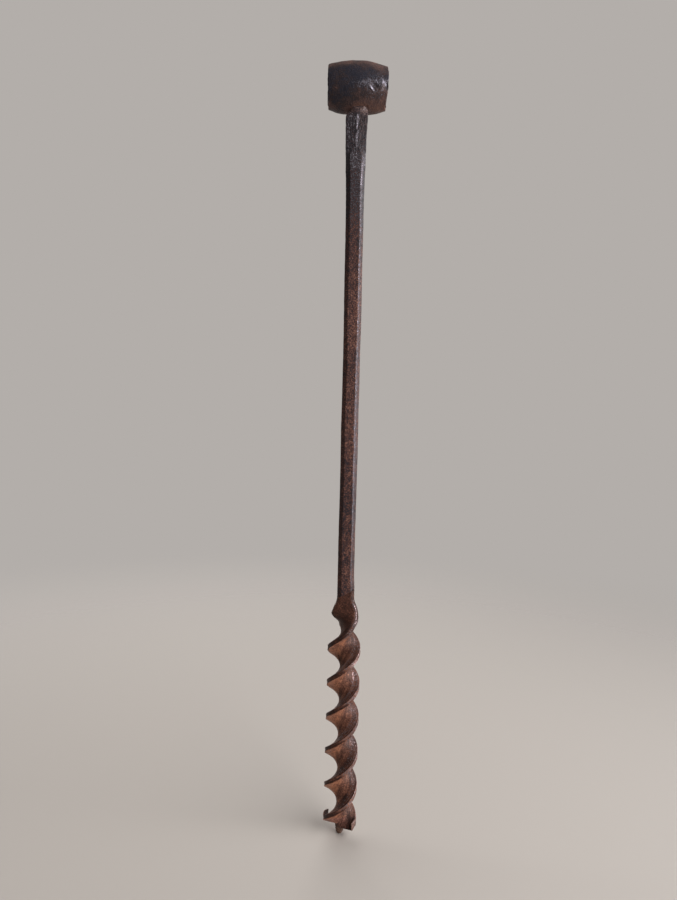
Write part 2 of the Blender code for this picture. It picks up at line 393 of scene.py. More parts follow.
@dataclass(frozen=True)
class ForgedIron:
    """Wrought iron, hammered hot and left to rust: fire scale, rust over it, and metal where rubbed.

    The eye sees a dark skin that is neither quite matt nor glossy, mottled in patches, speckled with
    grains of rust, and pale and shiny only on rubbed edges and painted highlights. The mask rust moves
    the colour from scale to bloom, the wear mask bares the metal for wear and for painted highlights,
    and the soot mask darkens for soot and for painted shade.

    Attributes:
        name: Name of the material.
        scale: Colour of the fire scale.
        deep: Colour of old, dark rust.
        rust: Colour of common rust.
        bloom: Colour of the brightest rust.
        bare: Colour of the rubbed metal.
        grime_and_shade: Colour of soot, grime and painted shade.
        roughness: Roughness of the skin.
        smoother: How far the smoothest patches lie below that roughness.
        rougher: How far the roughest patches lie above it.
        gloss: Specular level of the skin, where 0.5 is common for a clear coat.
        patch_mm: Size of the patches of rust.
        patch_share: How far the patches move the colour.
        grain_mm: Size of the grains of rust.
        grain_share: How far the grains move the colour.
        relief_mm: Depth of the grains.
        bare_roughness: Roughness of the rubbed metal.
        grime_and_shade_roughness: Roughness of soot, grime and painted shade.
        wear_start: How far the wear stands over the grains where half of the metal is bare.
        wear_fade: Half the width of the passage from skin to rubbed metal, in shares of the wear.
    """

    name: str
    scale: str
    deep: str
    rust: str
    bloom: str
    bare: str = "7a747b"
    grime_and_shade: str = "0f0c0b"
    roughness: float = 0.44
    smoother: float = 0.07
    rougher: float = 0.1
    gloss: float = 0.16
    patch_mm: float = 6.0
    patch_share: float = 0.4
    grain_mm: float = 1.0
    grain_share: float = 2.2
    relief_mm: float = 0.3
    bare_roughness: float = 0.45
    grime_and_shade_roughness: float = 0.9
    wear_start: float = 0.02
    wear_fade: float = 0.12

    def material(self) -> bpy.types.Material:
        """Build the node material of the finish.

        The mask rust, the patches and the grains add up to a place on a ramp of four colours. The wear
        less the grains bares the metal, also for painted highlights, and grime and painted shade lie over
        both.

        Returns:
            The new material.
        """
        made = bpy.data.materials.new(self.name)
        made.use_nodes = True
        tree = made.node_tree
        place = add_node(tree, "TexCoord", output="Object")
        rust, wear_and_highlight, soot_and_shade = (
            add_node(tree, "Attribute", output="Fac", attribute_name=key) for key in MASK_NAMES
        )
        patch, grain = (
            add_node(tree, "TexNoise", {"Scale": 1.0 / (size * MM), "Detail": detail}, {"Vector": place})
            for size, detail in ((self.patch_mm, 3.0), (self.grain_mm, 1.0))
        )
        tone = rust
        for pattern, share in ((patch, self.patch_share), (grain, self.grain_share)):
            tone = add_node(tree, "Math", {1: share}, {0: pattern, 2: tone}, operation="MULTIPLY_ADD")
        bias = (self.patch_share + self.grain_share) / 2
        tone = add_node(tree, "MapRange", {"From Min": bias, "From Max": 1.0 + bias}, {"Value": tone})
        colour = add_node(tree, "ValToRGB", links={"Fac": tone})
        stops = colour.node.color_ramp.elements
        stops[0].color = linear(self.scale)
        stops[1].color = linear(self.bloom)
        for position, shade in ((0.33, self.deep), (0.66, self.rust)):
            stops.new(position).color = linear(shade)
        rubbed = add_node(tree, "Math", {1: -1.0}, {0: grain, 2: wear_and_highlight}, operation="MULTIPLY_ADD")
        start, fade = self.wear_start, self.wear_fade
        passage = {"From Min": start - fade, "From Max": start + fade}
        bared = add_node(tree, "MapRange", passage, {"Value": rubbed})
        patchy = {"To Min": self.roughness - self.smoother, "To Max": self.roughness + self.rougher}
        dull = add_node(tree, "MapRange", {"From Min": 0.3, "From Max": 0.7, **patchy}, {"Value": patch})
        # Bare metal, for wear and painted highlights, then dark grime, for soot and painted shade
        layers = ((bared, self.bare, self.bare_roughness), (soot_and_shade, self.grime_and_shade, self.grime_and_shade_roughness))
        for mask, shade, roughness in layers:
            over = {0: mask, 6: colour}
            colour = add_node(tree, "Mix", {7: linear(shade)}, over, output=2, data_type="RGBA")
            dull = add_node(tree, "Mix", {3: roughness}, {0: mask, 2: dull})
        relief = {"Strength": 1.0, "Distance": self.relief_mm * MM}
        bump = add_node(tree, "Bump", relief, {"Height": grain})
        shader = tree.nodes["Principled BSDF"]
        shader.inputs["Specular IOR Level"].default_value = self.gloss
        results = {"Base Color": colour, "Roughness": dull, "Metallic": bared, "Normal": bump}
        for key, source in results.items():
            tree.links.new(source, shader.inputs[key])
        return made


EYE_IRON = ForgedIron(
    "forged_eye_iron",
    scale="2d2d36",
    deep="3b3233",
    rust="5a4643",
    bloom="72554b",
    bare="908d97",
    gloss=0.07,
    patch_share=0.6,
    grain_share=0.9,
    bare_roughness=0.52,
    wear_fade=0.34,
)
NECK_IRON = ForgedIron(
    "hammered_neck_iron",
    scale="29282d",
    deep="3d3235",
    rust="564646",
    bloom="74605c",
    bare="98939c",
    wear_fade=0.24,
)
SHANK_IRON = ForgedIron(
    "rusted_shank_iron",
    scale="2a282d",
    deep="443130",
    rust="674840",
    bloom="8e695d",
    gloss=0.13,
    patch_share=0.25,
    grain_share=1.9,
    wear_fade=0.24,
)
TWIST_IRON = ForgedIron(
    "rusted_twist_iron",
    scale="291d1b",
    deep="4a2f27",
    rust="775143",
    bloom="ac765c",
    bare="7c6c6b",
    gloss=0.11,
    patch_share=0.3,
    grain_share=0.9,
)
LIP_STEEL = ForgedIron(
    "rusted_lip_steel",
    scale="2c2120",
    deep="4c332d",
    rust="785349",
    bloom="ac7a69",
    bare="7c6c6b",
    gloss=0.11,
    patch_share=0.3,
    grain_share=0.9,
)
WING_STEEL = ForgedIron(
    "worn_wing_steel", scale="3a3030", deep="54403b", rust="7a5d55", bloom="a08278", grain_share=1.1
)
SCREW_IRON = ForgedIron(
    "worn_screw_iron", scale="382c28", deep="523e35", rust="705546", bloom="8e6e5c", grain_share=1.1
)


def finish(piece: bpy.types.Object, iron: ForgedIron, node: str) -> None:
    """Dress a piece, put it on its body and let it stand for its solid.

    Args:
        piece: The new piece.
        iron: Its finish.
        node: The solid of the frame that it stands for.
    """
    piece.data.materials.append(iron.material())
    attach(piece, BODY)
    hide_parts(node)
    log.info("%s stands for %s with %d faces", piece.name, node, len(piece.data.polygons))


@dataclass(frozen=True)
class Outline:
    """Columns round a section with four sides and cut corners, anticlockwise from its front right.

    Attributes:
        face: Columns across the front, and across the back.
        side: Columns across each side.
        corner: Columns round each corner.
        roundness: 1 cuts the corners straight and 2 rounds them.
    """

    face: int
    side: int
    corner: int
    roundness: float = 1.0

    def columns(self) -> tuple[Array, Array, Array, Array]:
        """Place of each column.

        The second half of the section is the first half turned round. A point lies at the flat part of
        the section times the flat shares, plus the corner's cut times the corner shares.

        Returns:
            Flat shares along X and Y and corner shares along X and Y, one value for each column.
        """
        step = np.arange(self.corner) / self.corner
        size = ((1.0 - step) ** self.roundness + step**self.roundness) ** (1.0 / self.roundness)
        out, over = (1.0 - step) / size, step / size
        side, face = (2.0 * np.arange(count) / count - 1.0 for count in (self.side, self.face))
        one, none = np.ones, np.zeros
        flat_x = [one(self.side), one(self.corner), -face, -one(self.corner)]
        flat_y = [side, one(self.corner), one(self.face), one(self.corner)]
        corner_x = [one(self.side), out, none(self.face), -over]
        corner_y = [none(self.side), over, one(self.face), out]
        halves = [np.concatenate(part) for part in (flat_x, flat_y, corner_x, corner_y)]
        return tuple(np.concatenate([half, -half]) for half in halves)

    def section(self, half_x: Array, half_y: Array, cut_x: Array, cut_y: Array) -> tuple[Array, Array]:
        """Points of the section: flat parts less the cuts, plus the corners.

        Args:
            half_x: Half the width.
            half_y: Half the depth.
            cut_x: Leg of the corner cuts along X.
            cut_y: Leg of the corner cuts along Y.

        Returns:
            X and Y of each column.
        """
        flat_x, flat_y, corner_x, corner_y = self.columns()
        x = flat_x * (half_x - cut_x) + corner_x * cut_x
        return x, flat_y * (half_y - cut_y) + corner_y * cut_y


@dataclass(frozen=True)
class Band:
    """Bell over the height of the bar.

    Attributes:
        height: Height of its middle.
        width: Distance from the middle at which it has fallen to e to the minus one.
        strength: Value at its middle.
    """

    height: float
    width: float
    strength: float = 1.0

    def at(self, z: Array) -> Array:
        """Value of the bell at each height."""
        return self.strength * bell(z, self.height, self.width)


@dataclass(frozen=True)
class ForgedBar:
    """The bar from the eye to the cutting edges: a cut-cornered section that changes with height.

    Neck, shank, twist and lips are stretches of it, so that they meet without a step. Sizes are in
    millimetres, heights count from the centre of the eye, and the kinks turn the strip in radians.
    Slopes, powers and shares have no unit.
    """

    # Ends of the stretches, and the scarf welds
    neck_top: float = -18.0
    upper_weld: float = -64.6
    lower_weld: float = -390.0
    first_crest: float = -407.75
    lip_top: float = -565.85
    cutting_edge: float = -572.35
    scarf_slope: float = 0.5
    scarf_fade: float = 16.0
    scarf_passes: int = 3
    # Neck, its ridge and the tongue above the ridge
    neck_width: float = 17.2
    neck_depth: float = 12.4
    ridge_rise: float = 1.3
    ridge_flat: float = 1.4
    ridge_foot: Span = (-56.0, 12.0)
    tongue_foot: Span = (-25.0, 5.0)
    # Shank
    top_width: float = 14.7
    bar_width: float = 13.55
    foot_width: float = 12.45
    swell_power: float = 26.0
    corner_cut: float = 3.0
    corner_depth_share: float = 0.95
    right_flare: Band = Band(-387.0, 8.0, 0.75)
    # Spade and strip
    spade_width: float = 20.7
    spade_depth: float = 8.0
    spade_bend: float = -399.8
    spade_fade: float = 4.3
    spade_cut: float = 2.4
    left_corner: float = -406.6
    left_corner_reach: float = 3.0
    left_corner_rise: float = 0.55
    twist_diameter: float = 25.4
    strip_depth: float = 5.9
    strip_cut: float = 0.55
    pitch: float = 53.54
    run_in: float = 22.0
    turn_lead: float = 0.3
    kinks: tuple[Band, ...] = (Band(-414.2, 4.0, 0.31), Band(-430.2, 15.0, 0.12))
    # Lean off the boring axis
    neck_lean: float = -0.65
    shank_lean: float = -0.1
    neck_lean_foot: Span = (-175.0, 105.0)
    lean_foot: Span = (-422.0, 30.0)
    shifts: tuple[Band, ...] = (Band(-414.2, 4.8, 1.7), Band(-398.0, 8.0, 0.4), Band(-422.0, 5.0, 0.4))
    # Unevenness that hammering leaves
    side_wander: float = 0.22
    face_wander: float = 0.16
    cut_wander: float = 0.3
    front_right_share: float = 2.0
    even_strip_share: float = 0.7
    rough_neck: Span = (-75.0, 25.0)
    # Rust by height, and where marks and colours change
    rust_stations: tuple[tuple[float, float], ...] = (
        (-572.0, 0.46), (-556.0, 0.63), (-425.0, 0.60),  # Twist
        (-413.0, 0.26), (-402.0, 0.32),  # Spade
        (-372.0, 0.42), (-318.0, 0.37), (-255.0, 0.46), (-190.0, 0.46), (-130.0, 0.41),  # Shank
        (-85.0, 0.0), (-65.0, -0.08), (-15.0, 0.04),  # Neck
    )
    calm_neck: Span = (-115.0, 40.0)
    calm_spade: Band = Band(-406.0, 13.0, 0.55)
    blue_foot: Span = (-160.0, 80.0)
    blue_top: Span = (-46.0, -8.0)
    # Top of the painted shade on the surfaces that look left
    left_shade_top: Span = (-40.0, -24.0)
    # Painted highlights on the corner cuts that look right
    weld_glint: Band = Band(-68.0, 22.0)
    spade_glint: Band = Band(-406.0, 17.0, 1.2)
    # Painted shade on the spade's surfaces that look left
    spade_left_shade: Band = Band(-414.0, 9.0, 0.3)
    arris_top: Span = (-430.0, -60.0)
    arris_width: float = 1.4
    # Painted shade in a band under the first turn, near the axis
    core_painted_shade: Band = Band(-444.0, 5.5, 2.2)
    dull_polish: Band = Band(-538.0, 15.0)
    unpolished_foot: Span = (-548.0, -12.0)
    # Painted shadow in the hollows between the lips and their wings
    hollow_out: float = 7.6
    hollow_height: float = -567.8
    hollow_width: float = 2.6
    hollow_stretch: float = 2.1
    hollow_divide: float = 1.5

    @property
    def rate(self) -> float:
        """Turn of the strip in radians for each millimetre."""
        return 2.0 * math.pi / self.pitch

    def neck_share(self, z: Array) -> Array:
        """0 at the upper weld and below, 1 at the eye."""
        return np.clip((z - self.upper_weld) / (self.neck_top - self.upper_weld), 0.0, 1.0)

    def fall(self, z: Array) -> Array:
        """0 at the upper weld, 1 at the lower weld."""
        return np.clip((self.upper_weld - z) / (self.upper_weld - self.lower_weld), 0.0, 1.0)

    def flattened(self, z: Array) -> Array:
        """0 in the shank and 1 in the strip, by a hyperbolic tangent about the bend of the spade."""
        return 0.5 + 0.5 * np.tanh((self.spade_bend - z) / self.spade_fade)

    def drawn(self, z: Array) -> Array:
        """0 at the first crest, 1 where the strip has its full width half a turn below."""
        return smooth(2.0 * (self.first_crest - z) / self.pitch)

    def ridged(self, z: Array) -> Array:
        """1 where the neck has its ridge, 0 on the flat tongue above it and in the shank below."""
        return rise(z, *self.ridge_foot) * (1.0 - rise(z, *self.tongue_foot))

    def turn(self, z: Array) -> Array:
        """Angle of the strip: none in the shank, then a rate that builds up over the run-in and stays.

        Under the run-in a small lead is added. Two bells are added under the spade, a sharp and a wide
        one, where the first turn ran ahead.

        Args:
            z: Heights.

        Returns:
            Angle in radians at each height.
        """
        depth = self.first_crest - z
        run = np.clip(depth + self.run_in / 2, 0.0, self.run_in)
        past = np.maximum(depth - self.run_in / 2, 0.0)
        past = past + self.turn_lead * rise(depth, self.run_in, self.run_in)
        kink = sum(band.at(z) for band in self.kinks)
        return -self.rate * (run * run / (2.0 * self.run_in) + past) - kink

    def lean(self, z: Array) -> Array:
        """Shift off the boring axis along X: the leans of shank and neck, and bells about the spade."""
        upper = mix(self.shank_lean, self.neck_lean, rise(z, *self.neck_lean_foot))
        return upper * rise(z, *self.lean_foot) + sum(band.at(z) for band in self.shifts)

    def halves(self, z: Array) -> tuple[Array, Array]:
        """Size of the bar: neck, swollen top, tapering shank, spade and strip blend into each other.

        Args:
            z: Heights.

        Returns:
            Half the width and half the depth at each height.
        """
        swell = (self.top_width - self.bar_width) * (1.0 - self.fall(z)) ** self.swell_power
        bar = mix(self.bar_width, self.foot_width, self.fall(z) ** 2) + swell
        width = mix(bar, self.neck_width, self.neck_share(z))
        depth = mix(bar, self.neck_depth, self.neck_share(z))
        wide = mix(self.spade_width, self.twist_diameter, self.drawn(z))
        thin = mix(self.spade_depth, self.strip_depth, self.drawn(z))
        flat = self.flattened(z)
        return mix(width, wide, flat) / 2, mix(depth, thin, flat) / 2

    def cuts(self, z: Array, half_width: Array) -> tuple[Array, Array]:
        """Corner cuts: plain on the shank, small on the strip, and meeting in a ridge on the neck.

        Args:
            z: Heights.
            half_width: Half the width of the bar at those heights.

        Returns:
            Legs of the cuts along X and along Y.
        """
        edge = mix(self.spade_cut, self.strip_cut, self.drawn(z) ** 2)
        plain = mix(self.corner_cut, edge, self.flattened(z))
        ridge = self.ridged(z)
        leg_x = mix(plain, half_width - self.ridge_flat / 2, ridge)
        return leg_x, mix(plain * self.corner_depth_share, self.ridge_rise, ridge)

    def scarf(self, heights: Array) -> Array:
        """Tilt of rows that turns from level to the scarf's slope near each weld."""
        near = np.minimum(np.abs(heights - self.upper_weld), np.abs(heights - self.lower_weld))
        return self.scarf_slope * (1.0 - smooth(near / self.scarf_fade))

    def grid(self, heights: Array, outline: Outline) -> Array:
        """Points of a stretch of the bar.

        Each row is the section at its height, on a plane tilted along X to follow a scarf. A few passes
        settle it, since the section changes with the tilted height. The sides and the corner cuts wander
        a little with height, each by itself, as hammering leaves them. Two small forms stand out: a
        corner on the left of the spade and a flare on the right of the shank's foot. The section is then
        turned by the twist and moved by the lean.

        Args:
            heights: Height of each row.
            outline: Columns of the section.

        Returns:
            Points shaped rows x columns x 3.
        """
        flat_x, flat_y, _, _ = outline.columns()
        right, left, back = flat_x > 0.0, flat_x < 0.0, flat_y > 0.0
        tilt = self.scarf(heights)[:, None]
        z = heights[:, None] + np.zeros_like(flat_x)
        for _ in range(self.scarf_passes):
            still = 1.0 - self.even_strip_share * self.flattened(z)
            half_x, half_y = self.halves(z)
            sideways = np.where(right, drift(z, 46.0, 1), drift(z, 52.0, 2))
            endways = np.where(back, drift(z, 49.0, 3), drift(z, 43.0, 4))
            half_x = half_x + self.side_wander * still * sideways
            half_y = half_y + self.face_wander * still * endways
            corner = np.clip(1.0 - np.abs(z - self.left_corner) / self.left_corner_reach, 0.0, 1.0)
            half_x = half_x + self.left_corner_rise * corner * left + self.right_flare.at(z) * right
            cut_x, cut_y = self.cuts(z, half_x)
            loose = self.cut_wander * still * (1.0 - self.ridged(z))
            for index, (sign_x, sign_y) in enumerate(((1, 1), (-1, 1), (-1, -1), (1, -1))):
                near = (1.0 + sign_x * flat_x) * (1.0 + sign_y * flat_y) / 4.0
                deeper = self.front_right_share * (sign_x > 0 > sign_y)
                cut_x = cut_x + loose * near * drift(z, 37.0, 5 + index)
                cut_y = cut_y + loose * near * (drift(z, 31.0, 9 + index) + deeper)
            x, y = outline.section(half_x, half_y, cut_x, cut_y)
            z = heights[:, None] + tilt * x
        x, y = turned(x, y, self.turn(z))
        return np.stack([x + self.lean(z), y, z], axis=-1)

    def hammered(self, points: Array) -> Array:
        """Height in millimetres of hammer marks and rust crust, both deeper on the neck, less pits.

        Args:
            points: Points of the bar.

        Returns:
            Height at each point.
        """
        neck = rise(points[..., 2], *self.rough_neck)
        marks = mix(0.07, 0.26, neck) * noise(points, 6.5, 21)
        crust = mix(0.05, 0.07, neck) * noise(points, 1.9, 24)
        return marks + crust - 0.12 * pits(points, 4.2, 27) ** 3

    def rust(self, points: Array) -> Array:
        """Rust: little on the neck, red-brown down the shank and most on the twist, mottled by noise.

        Args:
            points: Points of the bar.

        Returns:
            Rust at each point.
        """
        z = points[..., 2]
        heights, tones = zip(*self.rust_stations)
        mottle = 0.12 * noise(points, 14.0, 31) + 0.14 * noise(points, 3.2, 34)
        calm = most(0.7 * rise(z, *self.calm_neck), self.calm_spade.at(z))
        return np.interp(z, heights, tones) + mottle * (1.0 - calm)

    def wing_shade(self, points: Array) -> Array:
        """Painted shadow in the hollow between each lip and its wing: two tall bells, half a turn apart.

        Args:
            points: Points of the twist or of a lip.

        Returns:
            Painted shadow at each point.
        """
        out = np.where(points[..., 1] < self.hollow_divide, 1.0, -1.0) * points[..., 0]
        up = (points[..., 2] - self.hollow_height) / self.hollow_stretch
        return bell(np.hypot(out - self.hollow_out, up), 0.0, self.hollow_width)

    def blued(self, skin: Skin) -> Array:
        """Wear that leaves the blue-grey of the neck's foot on the top of the shank, fading down it.

        Args:
            skin: The finished surface.

        Returns:
            Wear at each point, none on the left side.
        """
        _, _, z = skin.axes()
        stretch = rise(z, *self.blue_foot) * rise(z, *self.blue_top)
        return 0.33 * stretch * rise(skin.normals()[..., 0], -0.6, 0.4)

    def left_painted_shade(self, skin: Skin) -> Array:
        """Painted shade on the surfaces that look left, from the foot of the neck down the shank."""
        _, _, z = skin.axes()
        return 0.4 * rise(skin.normals()[..., 0], -0.35, -0.3) * rise(z, *self.left_shade_top)

    def outer_dim(self, skin: Skin) -> Array:
        """Share of the wear and painted highlight that is left across a right corner cut of the shank.

        All of it is left at the cut's inner arris, and a fifth of it towards the outer one.

        Args:
            skin: The finished surface.

        Returns:
            Share at each point.
        """
        x, _, z = skin.axes()
        half_x, _ = self.halves(z)
        cut_x, _ = self.cuts(z, half_x)
        share = (x - self.lean(z) - half_x + cut_x) / cut_x
        return 1.0 - 0.8 * rise(share, 0.3, 0.4) * (1.0 - self.ridged(z))

    def glint(self, skin: Skin) -> Array:
        """Painted highlight on the corner cuts that look right: bells about the upper weld and the spade.

        Args:
            skin: The finished surface.

        Returns:
            Painted highlight, as bare metal, at each point.
        """
        _, _, z = skin.axes()
        right = skin.normals()[..., 0]
        facing = rise(right, 0.35, 0.3) * (1.0 - 0.5 * rise(right, 0.74, 0.16))
        return facing * (self.weld_glint.at(z) + self.spade_glint.at(z))

    def flights(self, skin: Skin) -> Masks:
        """Masks of the twisted surface, on the strip and on the lips alike.

        The faces that look upwards are bared in streaks along the helix, a painted sheen of the light
        from above, and their rust is darkened. The faces that look down are painted brighter, as bounce
        light from below. The lands at the outer edge are painted dark as shade, with a paler arris along
        one side, and are bared and painted pale where they look right, towards the light.

        Args:
            skin: The finished surface.

        Returns:
            Masks for rust, for wear with painted highlights, and for soot with painted shade.
        """
        points, normals = skin.points, skin.normals()
        right, up = normals[..., 0], normals[..., 2]
        x, y, z = skin.axes()
        across, through = turned(x, y, -self.turn(z))
        radius = np.hypot(across, through)
        half_x, half_y = self.halves(z)
        full = self.drawn(z)
        # 1 where the surface looks right, towards the light, and 0 where it looks left: it sets painted
        # light and shade
        rubbed = rise(right, -0.3, 0.6)
        inner = half_y - self.arris_width * rise(z, *self.arris_top)
        arris = rise(through * np.sign(across), inner, 0.5) * (1.0 - 0.85 * rubbed)
        land = rise(z, self.first_crest - 2.0, -8.0) * rise(radius, half_x - 0.8, 0.6) * (1.0 - arris)
        # Painted bounce light from below on the faces that look down
        under = full * rise(up, 0.12, -0.6) * (1.0 - land)
        worked = full * (1.0 - 0.5 * rise(z, *self.unpolished_foot)) * (1.0 - land)
        # Painted sheen: bare metal in streaks on the faces that look up
        polished = worked * rise(up, 0.15, 0.45) * rise(radius, 4.5, 3.5)
        dull = self.dull_polish.at(z)
        streaks = full * noise(np.stack([across, z * 0.12, np.sign(through) * 40.0], axis=-1), 0.9, 86)
        edges = skin.edges(5, 0.2) * smooth(0.5 + 0.7 * noise(points, 7.0, 81))
        glint = self.glint(skin)
        # Lighter rust: painted bounce light on faces that look down, a paler arris, and streaks
        bright = 0.3 * most(under, full * arris * rise(radius, 11.0, 1.0)) + 0.2 * streaks
        # Darker rust: painted shade on the lands except where they look right, and under the painted
        # sheen
        dark = 0.45 * land * (1.0 - 0.8 * rubbed) + (0.25 + 0.2 * dull) * polished
        slid = polished * (0.43 - 0.08 * dull + 0.12 * streaks)
        # Bare metal on the lands that look right: a painted highlight
        scraped = land * rubbed * (0.5 + 0.1 * streaks)
        # Painted shade near the axis of the twist, deepest in a band under the first turn
        core_shade = full * (1.0 - rise(radius, 2.5, 6.5)) * (1.0 + self.core_painted_shade.at(z))
        grime_and_shade = 0.19 * core_shade + 0.4 * pits(points, 3.2, 84) ** 3
        # Painted shade on the spade's surfaces that look left
        spade = rise(right, -0.2, -0.3) * self.spade_left_shade.at(z)
        return {
            "rust": self.rust(points) + bright - dark - 0.2 * glint,
            "wear_and_highlight": most(0.4 * edges * full, slid, scraped, 0.45 * glint),
            "soot_and_shade": most(grime_and_shade, spade, 0.75 * self.wing_shade(points)),
        }


@dataclass(frozen=True)
class Spot:
    """Round mark on the eye, a bell about a place on it.

    Attributes:
        strength: Height in millimetres, or share of a mask, at its middle.
        along: Place along X.
        degrees: Angle round the eye.
        width: Distance in millimetres at which it has fallen to e to the minus one.
    """

    strength: float
    along: float
    degrees: float
    width: float


@dataclass(frozen=True)
class Slant:
    """Slanting mark on the eye.

    Attributes:
        along: Place along X.
        degrees: Angle round the eye.
        right: Share of its direction that points right.
        up: Share of its direction that points up round the eye.
    """

    along: float
    degrees: float
    right: float
    up: float


@dataclass
class HandleEye:
    """Barrel-shaped eye for the cross handle, turned about X, battered at its right end.

    Angles run from 0 at the top through 90 degrees at the front to 180 degrees at the bottom.
    """

    length: float
    crown_radius: float
    bore_radius: float = 11.25
    end_radius: float = 15.2
    rim: float = 1.5
    mouth: float = 0.9
    offset: float = -0.55
    columns: int = 320
    # Marks in the surface
    gouge: Slant = Slant(10.4, 118.5, 0.74, 0.67)
    hollow: Spot = Spot(-0.5, 14.6, 115.0, 3.4)
    hole: Spot = Spot(-0.28, 14.4, 102.0, 0.9)
    fin: Spot = Spot(0.3, 13.3, 105.0, 0.9)
    notch: Spot = Spot(-0.9, 6.9, 162.0, 1.0)
    weld_bead: Spot = Spot(0.7, 9.0, 173.0, 1.3)
    scuffed: Spot = Spot(3.5, 17.0, 110.0, 7.0)
    battered_degrees: float = 111.0
    # Marks in the colour
    smear: Slant = Slant(19.0, 103.5, 0.89, 0.45)
    scuffs: Spot = Spot(1.0, 15.0, 113.0, 9.0)
    left_rust: Spot = Spot(0.3, -17.0, 117.0, 4.5)
    weld_rust: Spot = Spot(0.6, 1.5, 132.0, 9.0)
    # Where the rust changes, in degrees round the eye and in millimetres along it
    crown_foot: Span = (76.0, -26.0)
    crown_droop: float = 20.0
    drooping_end: Span = (2.0, 18.0)
    belly_top: Span = (125.0, 45.0)
    rear_foot: Span = (205.0, 30.0)
    rear_top: Span = (355.0, -25.0)
    right_end: Span = (4.0, 14.0)
    right_front: Span = (92.0, 40.0)

    def profile(self) -> tuple[Array, Array, Array]:
        """Closed outline of the wall, along the outside from right to left and back through the bore.

        The outside is a parabola, the rims and mouths are quarter circles, and the ends are flat.

        Returns:
            Place along X, radius, and 1 on the outside and its rims or 0 elsewhere, for each row.
        """
        half = self.length / 2
        outside = np.linspace(half - self.rim, self.rim - half, 128)
        crown = mix(self.crown_radius, self.end_radius, (outside / half) ** 2)
        quarter = np.linspace(0.0, math.pi / 2, 9)[1:]
        edge = crown[-1] - self.rim
        face = np.linspace(edge, self.bore_radius + self.mouth, 12)[1:]
        bore = np.linspace(self.mouth - half, 0.0, 26)[1:]
        rim_x = self.rim - half - self.rim * np.sin(quarter)
        rim_r = edge + self.rim * np.cos(quarter)
        mouth_x = self.mouth - half - self.mouth * np.cos(quarter)
        mouth_r = self.bore_radius + self.mouth - self.mouth * np.sin(quarter)
        left_x = np.concatenate([rim_x, np.full(len(face), -half), mouth_x, bore])
        left_r = np.concatenate([rim_r, face, mouth_r, np.full(len(bore), self.bore_radius)])
        along = np.concatenate([outside, left_x, -left_x[-2::-1]])
        radius = np.concatenate([crown, left_r, left_r[-2::-1]])
        outer = np.ones(len(along))
        outer[len(outside) + len(quarter) : -len(quarter)] = 0.0
        return along, radius, outer

    def arc(self, degrees: Array, start: float) -> Array:
        """Distance in millimetres round the eye from a starting angle."""
        return np.radians(degrees - start) * self.crown_radius

    def spot(self, mark: Spot, along: Array, degrees: Array) -> Array:
        """Value of a round mark at each place."""
        distance = np.hypot(along - mark.along, self.arc(degrees, mark.degrees))
        return mark.strength * bell(distance, 0.0, mark.width)

    def slant(self, mark: Slant, along: Array, degrees: Array) -> tuple[Array, Array]:
        """Distances in millimetres in the direction of a slanting mark and square to it."""
        right, down = along - mark.along, self.arc(degrees, mark.degrees)
        return right * mark.right - down * mark.up, right * mark.up + down * mark.right

    def dents(self, along: Array, degrees: Array) -> Array:
        """Height of the eye's own marks: a gouge with a steep wall, a battered rim and marks of welding.

        The gouge falls steeply across a slanting line and fills up slowly behind it. The battered rim is
        a plane that slopes down to the right end. The thinned and trimmed ends, the crease and the round
        marks are bells.

        Args:
            along: Place along X.
            degrees: Angle round the eye.

        Returns:
            Height in millimetres.
        """
        behind, beside = self.slant(self.gouge, along, degrees)
        fall = rise(behind, -0.5, 1.1) * np.exp(-np.maximum(behind, 0.0) / 3.4)
        gouge = (0.3 * bell(behind, -0.9, 0.8) - 1.2 * fall) * np.exp(-((beside / 3.1) ** 4))
        crease = -0.5 * bell(behind, 3.4, 0.9) * bell(beside, 1.6, 2.6)
        battered = -0.45 * np.clip(along - 18.0, 0.0, 5.0) * bell(degrees, self.battered_degrees, 9.0)
        thinned = -0.75 * rise(along, 3.0, 17.0) * bell(degrees, 30.0, 48.0)
        trimmed = -0.6 * rise(np.abs(along), 15.0, 7.0) * bell(degrees, 185.0, 42.0)
        marks = (self.hollow, self.hole, self.fin, self.notch, self.weld_bead)
        spots = sum(self.spot(mark, along, degrees) for mark in marks)
        return gouge + crease + battered + thinned + trimmed + spots

    def build(self) -> bpy.types.Object:
        """Turn the profile about X, skew its lower right, batter it and set its masks.

        Returns:
            The eye.
        """
        along, radius, outer = (part[:, None] for part in self.profile())
        angle = full_turn(self.columns)
        degrees = np.degrees(angle)
        skewed = along - 1.1 * rise(along, 6.0, 16.0) * bell(degrees, 168.0, 42.0)
        y, z = -radius * np.sin(angle), radius * np.cos(angle)
        points = np.stack([skewed + self.offset, y, z], axis=-1)
        skin = Skin(points, ring=True)
        crust = 0.06 * (1.0 + self.spot(self.scuffed, along, degrees)) * noise(points, 1.9, 44)
        near_rim = rise(np.abs(along), 18.0, 5.0)
        nicks = -0.35 * near_rim * np.clip(noise(points, 3.4, 47) - 0.25, 0.0, 1.0)
        open_air = np.maximum(outer, near_rim * (radius > self.end_radius - 3.0))
        marks = 0.15 * noise(points, 8.0, 41) + crust + nicks - 0.14 * pits(points, 4.6, 48) ** 3
        skin.push(marks + self.dents(along, degrees) * open_air)
        skin.masks = self.patina(points, along, degrees, open_air)
        return skin.to_object("forged_eye")

